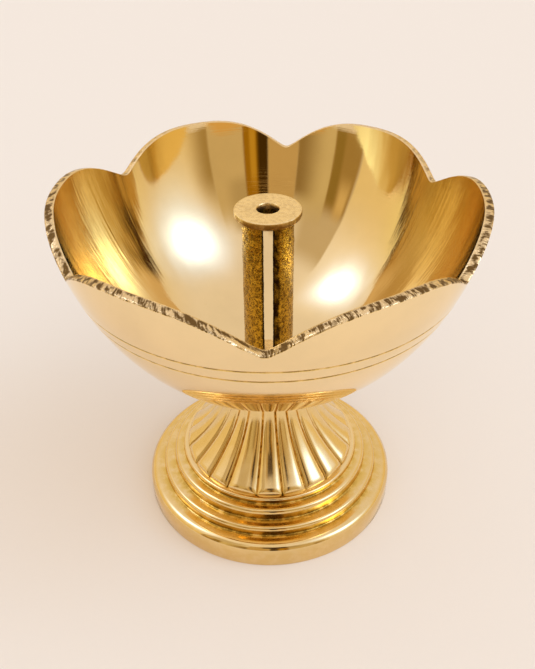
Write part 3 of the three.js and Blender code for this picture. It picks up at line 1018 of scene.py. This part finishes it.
def flange_rings(sizes, bottom, turns):
    """The flange on the bowl's floor and the threaded stud below it."""
    top = bottom + sizes.flange_thickness
    root = 0.55 * MM
    low = holder_low[2]
    start = bottom
    per_turn = 10
    total = int((start - low) / sizes.pitch * per_turn)
    profile = [(0.05 * MM, top - 0.1 * MM, 0.0), (sizes.stem - 0.6 * MM, top - 0.1 * MM, 0.0),
               (sizes.flange - 0.3 * MM, top, 0.1), (sizes.flange, top - 0.25 * MM, 0.3),
               (sizes.flange, bottom + 0.1 * MM, 0.3), (sizes.flange - 0.1 * MM, bottom, 0.2),
               (sizes.stud, bottom, 0.3)]
    rings = [plain_ring(turns, *point) for point in profile]
    for row in range(1, total):
        height = start - row * sizes.pitch / per_turn

        def point(turn, i, height=height):
            phase = ((height / sizes.pitch) - turn / math.tau) % 1.0
            ridge = abs(2 * phase - 1)
            fade = min(1.0, (start - height) / (1.5 * MM))
            taper = max(0.0, 1 - (height - low) / (0.7 * MM)) * 0.7 * MM
            radius = min(sizes.stud - root * (1 - ridge) * fade, sizes.stud - taper)
            return radius, height, 0.5 * (1 - ridge)
        rings.append(ring(turns, point))
    rings.append(plain_ring(turns, sizes.stud - 0.8 * MM, low, 0.2))
    rings.append(plain_ring(turns, 0.05 * MM, low, 0.2))
    return rings


def build_wick_holder(sizes, finishes):
    top = holder_high[2]
    bottom = seal_high[2]
    verts, faces, stains = [], [], []
    under_disc = top - sizes.disc_thickness
    leg_foot = bottom + sizes.flange_thickness - 0.5 * MM
    for side in (1, -1):
        leg_mesh(sizes, side, leg_foot, under_disc + 0.2 * MM, verts, faces, stains)
    append_rings(collar_rings(sizes, under_disc, even_turns(96)), verts, faces, stains, closed=True)
    cast_faces = len(faces)
    append_rings(flange_rings(sizes, bottom, even_turns(64)), verts, faces, stains, closed=False)
    append_rings(disc_rings(sizes, top, even_turns(128)), verts, faces, stains, closed=True)
    slots = [0] * cast_faces + [1] * (len(faces) - cast_faces)
    piece = mesh_object("wick_stand", verts, faces, slots, stains, sharp=40.0)
    raw = raw_brass("cast_wick_holder", finishes.cast_brass, finishes.cast_brown, finishes.cast_skin_and_shade)
    disc = turned_brass("turned_disc", finishes.disc_brass, finishes.cast_brown)
    dress(piece, "wick_holder", "wick_holder", [raw, disc])


# The fixings.

def washer_profile(bore, outer, low, high, edge):
    return [(bore, low + edge), (bore, high - edge), (bore + edge, high), (outer - edge, high),
            (outer - 0.3 * edge, high - 0.3 * edge), (outer, high - edge), (outer, low + edge),
            (outer - 0.3 * edge, low + 0.3 * edge), (outer - edge, low), (bore + edge, low)]


def build_ring_piece(name, body, node, outer, low, high, sizes, material):
    turns = even_turns(96)
    profile = washer_profile(sizes.bore, outer, low, high, sizes.edge)
    rings = [plain_ring(turns, radius, height, 0.15) for radius, height in profile]
    dress(skin(name, rings[::-1], [0], sharp=40.0), body, node, [material])


def build_nut(sizes, material):
    flat = sizes.across_flats / 2
    low, high = nut_low[2], nut_high[2]
    turns = even_turns(144)
    slope = (flat / math.cos(math.pi / 6) - flat) / sizes.chamfer

    def hexagon(turn, height):
        beside = (turn - FRONT + math.pi / 6) % (math.pi / 3) - math.pi / 6
        reach = flat / math.cos(beside)
        end = min(height - low, high - height)
        return min(reach, flat - 0.1 * MM + end * slope), height, 0.1

    heights = [low + rise * MM for rise in (0.02, 0.15, 0.3, 0.45, 0.62, 0.8)]
    heights += [low + high - z for z in reversed(heights)]
    rings = [plain_ring(turns, sizes.bore, high, 0.4), plain_ring(turns, sizes.bore, low, 0.4),
             plain_ring(turns, flat - 0.3 * MM, low, 0.1)]
    rings += [ring(turns, lambda t, i, z=z: hexagon(t, z)) for z in heights]
    rings.append(plain_ring(turns, flat - 0.3 * MM, high, 0.1))
    dress(skin("hexagon_nut", rings, [0], sharp=25.0), "foot", "clamp_nut", [material])


# The stage: a pale paper floor, a pale room with its soft lights, and the camera.

# Soft lights that the metal reflects: name, turn and height of the middle, lean of its upright, spread in
# turn and height (degrees), and what it adds.
LIGHTS = (
    ("right soft light", 66.0, 35.0, -0.6, 14.0, 9.5, (0.4, 1.2, 3.2)),
    ("right lamp", 66.0, 35.0, -0.6, 7.0, 5.0, (5.0, 4.5, 3.0)),
    ("right low glow", 64.0, 17.0, 0.0, 13.0, 8.0, (0.07, 0.2, 0.48)),
    ("right high glow", 52.0, 50.0, 0.0, 10.0, 6.0, (0.1, 0.13, 0.26)),
    ("left soft light", -92.0, 48.5, 0.5, 11.5, 9.5, (0.3, 1.0, 3.0)),
    ("left lamp", -92.0, 48.5, 0.5, 7.0, 5.5, (4.5, 4.0, 2.5)),
    ("left halo", -86.0, 51.0, 0.0, 22.0, 16.0, (0.24, 0.25, 0.24)),
)

# Soft lights on the floor and other matt things, given in the same way.
FLOOR_LIGHTS = (
    ("soft light in front", 15.0, 40.0, 0.0, 35.0, 18.0, (1.1, 1.1, 1.1)),
    ("window on the right", 88.0, 46.0, 0.0, 17.0, 12.0, (1.3, 1.9, 2.6)),
)

# Things that stand before the lights, as seen from the lamp in degrees: name, left and right edge with
# their softness, bottom and top with theirs, colour.
PANELS = (
    ("shaded wall in front", -57.5, 1.0, 40.0, 8.0, -90.0, 34.0, 10.0, (0.75, 0.62, 0.42)),
    ("tall shelf on the left", -58.0, 0.8, -24.0, 8.0, -90.0, 54.0, 7.0, (0.66, 0.54, 0.38)),
    ("lower shelf", -41.5, 0.6, -22.0, 4.0, -90.0, 32.0, 8.0, (0.7, 0.56, 0.31)),
    ("dark corner on the left", -57.0, 0.7, -41.0, 0.7, -90.0, 29.0, 4.0, (0.42, 0.27, 0.085)),
    ("lit edge in the corner", -55.5, 1.0, -48.5, 2.5, 17.0, 29.0, 5.0, (0.78, 0.56, 0.25)),
    ("darkest fold in the corner", -47.0, 1.5, -41.5, 0.6, -90.0, 26.0, 3.0, (0.32, 0.205, 0.045)),
    ("shaded fold", -29.0, 9.0, -18.7, 0.6, -90.0, 27.0, 4.0, (0.335, 0.22, 0.08)),
    ("card beside the stand", -18.7, 0.5, -0.4, 0.5, -90.0, 44.0, 4.0, (0.62, 0.435, 0.2)),
    ("card on the right", 14.3, 0.7, 35.2, 0.5, -90.0, 34.0, 8.0, (0.67, 0.52, 0.29)),
    ("shade on the card", 14.3, 0.7, 26.0, 6.0, 20.0, 42.0, 3.0, (0.53, 0.4, 0.21)),
    ("dark gap on the right", 35.3, 0.5, 44.0, 8.0, -90.0, 22.5, 9.0, (0.44, 0.3, 0.11)),
    ("camera stand", -0.4, 0.6, 14.2, 0.7, -90.0, 42.0, 1.5, (0.06, 0.028, 0.002)),
    ("warm flank of the stand", 6.2, 1.6, 14.2, 0.7, -90.0, 42.0, 1.5, (0.38, 0.18, 0.006)),
    ("lit edge of the stand", 7.0, 0.8, 10.6, 0.8, 0.0, 22.0, 5.0, (0.58, 0.32, 0.03)),
    ("camera", -7.0, 1.5, 14.0, 1.5, 29.0, 43.0, 2.0, (0.06, 0.028, 0.006)),
)


def panel_group():
    """A soft-edged rectangle of the room, as seen from the lamp."""
    tree, given, out = group_tree("Room Panel", [
        ("Turn", 0.0), ("Height", 0.0), ("Left", -10.0), ("Left Softness", 1.0), ("Right", 10.0),
        ("Right Softness", 1.0), ("Bottom", -10.0), ("Top", 10.0), ("Softness", 1.0)], ["Mask"])

    def edge(way, place, softness, before, after):
        low = math_node(tree, "SUBTRACT", given[place], given[softness])
        high = math_node(tree, "ADD", given[place], given[softness])
        return ramp(tree, given[way], low, high, before, after)

    mask = math_node(tree, "MULTIPLY", edge("Turn", "Left", "Left Softness", 0.0, 1.0),
                     edge("Turn", "Right", "Right Softness", 1.0, 0.0))
    tall = math_node(tree, "MULTIPLY", edge("Height", "Top", "Softness", 1.0, 0.0),
                     edge("Height", "Bottom", "Softness", 0.0, 1.0))
    tree.links.new(math_node(tree, "MULTIPLY", mask, tall), out["Mask"])
    return tree


def glow_group():
    """A soft light that fades evenly from its middle."""
    tree, given, out = group_tree("Soft Glow", [
        ("Turn", 0.0), ("Height", 0.0), ("Centre Turn", 0.0), ("Centre Height", 0.0), ("Lean", 0.0),
        ("Spread Turn", 10.0), ("Spread Height", 10.0)], ["Mask"])
    above = math_node(tree, "SUBTRACT", given["Height"], given["Centre Height"])
    beside = math_node(tree, "SUBTRACT", given["Turn"], given["Centre Turn"])
    beside = math_node(tree, "SUBTRACT", beside, math_node(tree, "MULTIPLY", above, given["Lean"]))
    beside = math_node(tree, "WRAP", beside, 180.0, -180.0)
    squares = []
    for apart, spread in ((above, given["Spread Height"]), (beside, given["Spread Turn"])):
        share = math_node(tree, "DIVIDE", apart, spread)
        squares.append(math_node(tree, "MULTIPLY", share, share))
    total = math_node(tree, "ADD", *squares)
    fading = math_node(tree, "EXPONENT", math_node(tree, "MULTIPLY", total, -0.5))
    tree.links.new(fading, out["Mask"])
    return tree


def build_world(finishes):
    """The room that the metal reflects, plain soft light for the floor, and paper behind the lamp."""
    world = bpy.data.worlds.new("Pale room")
    bpy.context.scene.world = world
    world.use_nodes = True
    tree = world.node_tree
    way = tree.nodes.new("ShaderNodeTexCoord").outputs["Generated"]
    split = new_node(tree, "ShaderNodeSeparateXYZ", {0: way}).outputs
    to_front = math_node(tree, "MULTIPLY", split[1], -1.0)
    turn = math_node(tree, "DEGREES", math_node(tree, "ARCTAN2", split[0], to_front))
    height = math_node(tree, "DEGREES", math_node(tree, "ARCSINE", split[2]))
    seen = blend_colour(tree, ramp(tree, height, 12.0, 48.0), rgba(finishes.wall), rgba(finishes.room))
    glow = glow_group()

    def lit(colour_in, light):
        name, centre, level, lean, wide, tall, tint = light
        mask = new_node(tree, "ShaderNodeGroup", {
            "Turn": turn, "Height": height, "Centre Turn": centre, "Centre Height": level, "Lean": lean,
            "Spread Turn": wide, "Spread Height": tall}, node_tree=glow, label=name).outputs[0]
        return add_light(tree, mask, colour_in, tint)

    for light in LIGHTS:
        seen = lit(seen, light)
    panel = panel_group()
    for name, left, left_soft, right, right_soft, bottom, top, soft, tint in PANELS:
        mask = new_node(tree, "ShaderNodeGroup", {
            "Turn": turn, "Height": height, "Left": left, "Left Softness": left_soft, "Right": right,
            "Right Softness": right_soft, "Bottom": bottom, "Top": top, "Softness": soft},
            node_tree=panel, label=name).outputs[0]
        seen = blend_colour(tree, mask, seen, rgba(tint))
    path = tree.nodes.new("ShaderNodeLightPath").outputs
    plain = new_node(tree, "ShaderNodeRGB").outputs[0]
    plain.default_value = rgba(finishes.daylight)
    for light in FLOOR_LIGHTS:
        plain = lit(plain, light)
    seen = blend_colour(tree, path["Is Glossy Ray"], plain, seen)
    seen = blend_colour(tree, path["Is Camera Ray"], seen, rgba(finishes.backdrop))
    tree.links.new(seen, tree.nodes["Background"].inputs["Color"])
    tree.nodes["Background"].inputs["Strength"].default_value = 1.0


def add_light(tree, share, colour_in, tint):
    node = new_node(tree, "ShaderNodeMix", data_type="RGBA", blend_type="ADD")
    tree.links.new(share, node.inputs[0])
    tree.links.new(colour_in, node.inputs[6])
    node.inputs[7].default_value = rgba(tint)
    return node.outputs[2]


def build_floor(finishes):
    half = 6.0
    verts = [(-half, -half, 0), (half, -half, 0), (half, half, 0), (-half, half, 0)]
    mesh = bpy.data.meshes.new("paper_floor")
    mesh.from_pydata(verts, [], [(0, 1, 2, 3)])
    floor = bpy.data.objects.new("paper_floor", mesh)
    bpy.context.scene.collection.objects.link(floor)
    material, tree, shader = new_material("matt_paper")
    place = tree.nodes.new("ShaderNodeTexCoord").outputs["Object"]
    fibres = noise_node(tree, place, 900.0, 3.0)
    paper = finishes.paper
    darker = tuple(channel * 0.985 for channel in paper)
    tree.links.new(blend_colour(tree, fibres, rgba(darker), rgba(paper)), shader.inputs["Base Color"])
    shader.inputs["Roughness"].default_value = 0.9
    shader.inputs["Specular IOR Level"].default_value = 0.1
    floor.data.materials.append(material)


def build_camera():
    """The photograph's view: a quarter of a metre away in front and above, looking down at the bowl."""
    data = bpy.data.cameras.new("camera")
    data.sensor_fit = "VERTICAL"
    data.sensor_height = 36.0
    data.lens = 43.42
    data.clip_start = 0.005
    camera = bpy.data.objects.new("camera", data)
    bpy.context.scene.collection.objects.link(camera)
    camera.location = (-0.2 * MM, -165.92 * MM, 169.92 * MM)
    camera.rotation_euler = [math.radians(angle) for angle in (53.891, 0.396, -0.248)]
    bpy.context.scene.camera = camera


class DIYA_OT_stage(bpy.types.Operator):
    """Set up the paper floor, the pale room and the camera"""

    bl_idname = "diya.stage"
    bl_label = "Stage"

    def execute(self, context):
        finishes = context.scene.diya_finishes
        context.scene.view_settings.view_transform = "Standard"
        build_world(finishes)
        build_floor(finishes)
        build_camera()
        return {"FINISHED"}


class DIYA_OT_foot(bpy.types.Operator):
    """Make the gadrooned foot casting"""

    bl_idname = "diya.foot"
    bl_label = "Gadrooned foot"

    def execute(self, context):
        build_foot(context.scene.diya_foot, context.scene.diya_finishes)
        return {"FINISHED"}


class DIYA_OT_bowl(bpy.types.Operator):
    """Make the petalled bowl casting"""

    bl_idname = "diya.bowl"
    bl_label = "Petal bowl"

    def execute(self, context):
        build_bowl(context.scene.diya_bowl, context.scene.diya_finishes)
        return {"FINISHED"}


class DIYA_OT_wick_holder(bpy.types.Operator):
    """Make the rough-cast wick holder with its turned disc and stud"""

    bl_idname = "diya.wick_holder"
    bl_label = "Wick holder"

    def execute(self, context):
        build_wick_holder(context.scene.diya_holder, context.scene.diya_finishes)
        return {"FINISHED"}


class DIYA_OT_fixings(bpy.types.Operator):
    """Make the oil seal, the foot washer and the clamp nut"""

    bl_idname = "diya.fixings"
    bl_label = "Seal, washer and nut"

    def execute(self, context):
        sizes = context.scene.diya_fixings
        finishes = context.scene.diya_finishes
        rubber = moulded_rubber("seal_rubber", finishes.rubber)
        brass = turned_brass("turned_fixing", finishes.fixing_brass, finishes.tarnish)
        build_ring_piece("rubber_seal", "bowl", "oil_seal",
                         seal_high[0], seal_low[2], seal_high[2], sizes, rubber)
        build_ring_piece("brass_washer", "foot", "foot_washer",
                         washer_high[0], washer_low[2], washer_high[2], sizes, brass)
        build_nut(sizes, brass)
        return {"FINISHED"}


class DIYA_PT_panel(bpy.types.Panel):
    """Lists what makes the lamp"""

    bl_idname = "DIYA_PT_panel"
    bl_label = "Pedestal Diya"
    bl_space_type = "VIEW_3D"
    bl_region_type = "UI"
    bl_category = "Diya"

    def draw(self, context):
        for operator in OPERATORS:
            self.layout.operator(operator.bl_idname)


OPERATORS = (DIYA_OT_stage, DIYA_OT_foot, DIYA_OT_bowl, DIYA_OT_wick_holder, DIYA_OT_fixings)
SETTINGS = {"diya_foot": FootSizes, "diya_bowl": BowlSizes, "diya_holder": HolderSizes,
            "diya_fixings": FixingSizes, "diya_finishes": Finishes}


def register():
    for cls in (*SETTINGS.values(), *OPERATORS, DIYA_PT_panel):
        bpy.utils.register_class(cls)
    for name, settings in SETTINGS.items():
        setattr(bpy.types.Scene, name, PointerProperty(type=settings))


def unregister():
    for name in SETTINGS:
        delattr(bpy.types.Scene, name)
    for cls in (DIYA_PT_panel, *OPERATORS, *SETTINGS.values()):
        bpy.utils.unregister_class(cls)


def main():
    register()
    bpy.ops.diya.stage()
    bpy.ops.diya.foot()
    bpy.ops.diya.bowl()
    bpy.ops.diya.wick_holder()
    bpy.ops.diya.fixings()


if __name__ == "__main__":
    main()
